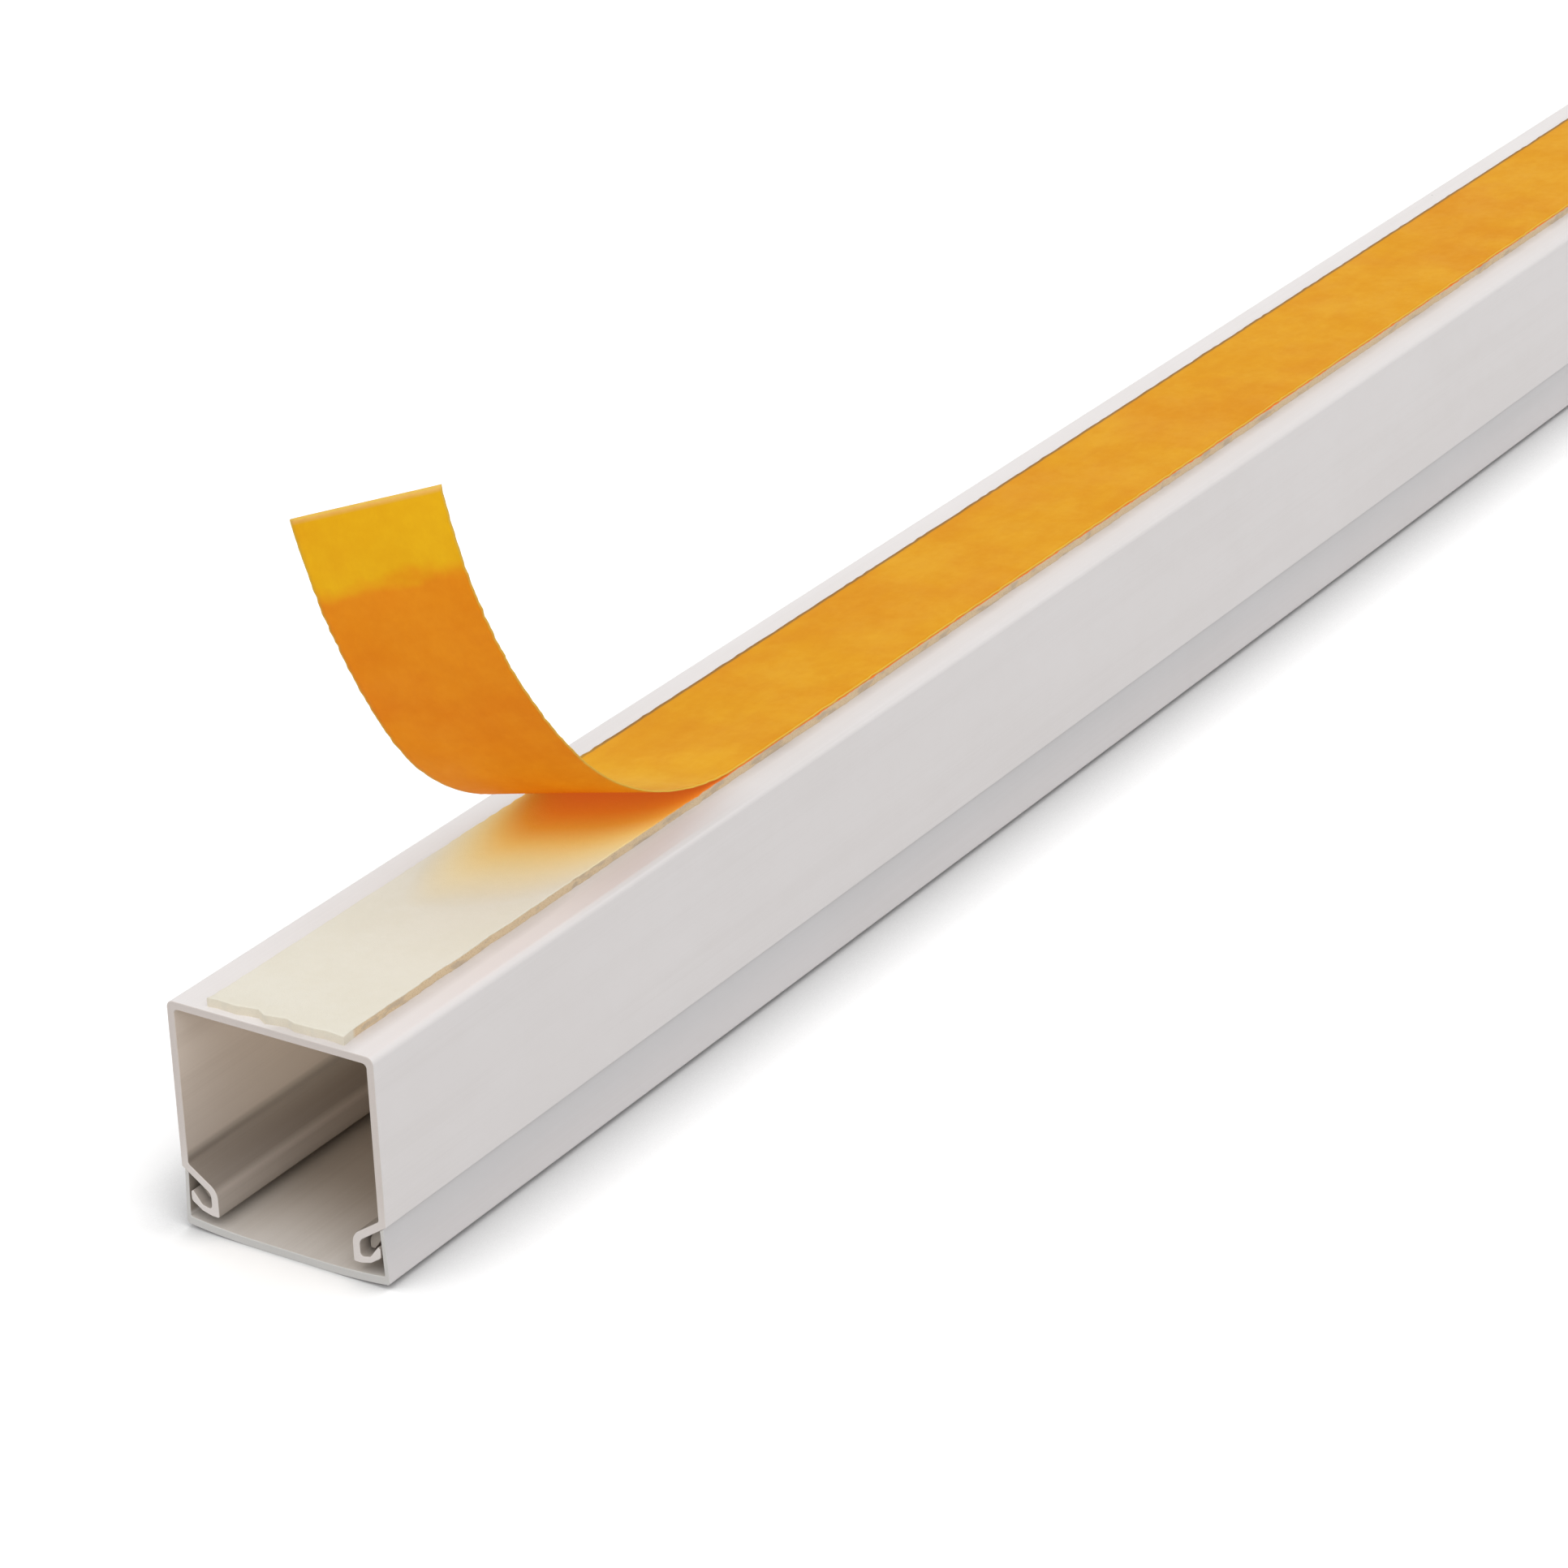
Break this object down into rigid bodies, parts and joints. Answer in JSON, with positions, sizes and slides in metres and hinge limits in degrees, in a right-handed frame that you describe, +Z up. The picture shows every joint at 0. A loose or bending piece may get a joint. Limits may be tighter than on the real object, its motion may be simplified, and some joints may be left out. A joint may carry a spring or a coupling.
{
  "type": "cord cover raceway",
  "caption": "Self-adhesive plastic cable trunking with a clip-in lid, lying on its lid, its foam tape's liner peeled back and curling at one end.",
  "frame": {"origin": "under the middle of the length and the width, on the flat middle part of the bowed lid, which lies on the floor", "axes": "+X runs along the length, away from the end with the peeled liner; +Y runs across the width; +Z is up, out of the taped back"},
  "size_m": [0.4, 0.025, 0.0751],
  "materials": {
    "channel_pvc": "satin white extruded PVC",
    "lid_pvc": "satin white extruded PVC",
    "foam_tape": "cream double-sided foam with a tacky face",
    "release_paper": "yellow-orange siliconised paper"
  },
  "bodies": {
    "channel": {"base_channel": "channel_pvc", "foam_tape": "foam_tape", "release_liner": "release_paper"},
    "cover": {"lid": "lid_pvc"}
  },
  "joints": [
    {"name": "lid_slide", "type": "slide", "parent": "channel", "child": "cover", "axis": [1, 0, 0], "range_m": [0, 0.41]}
  ]
}
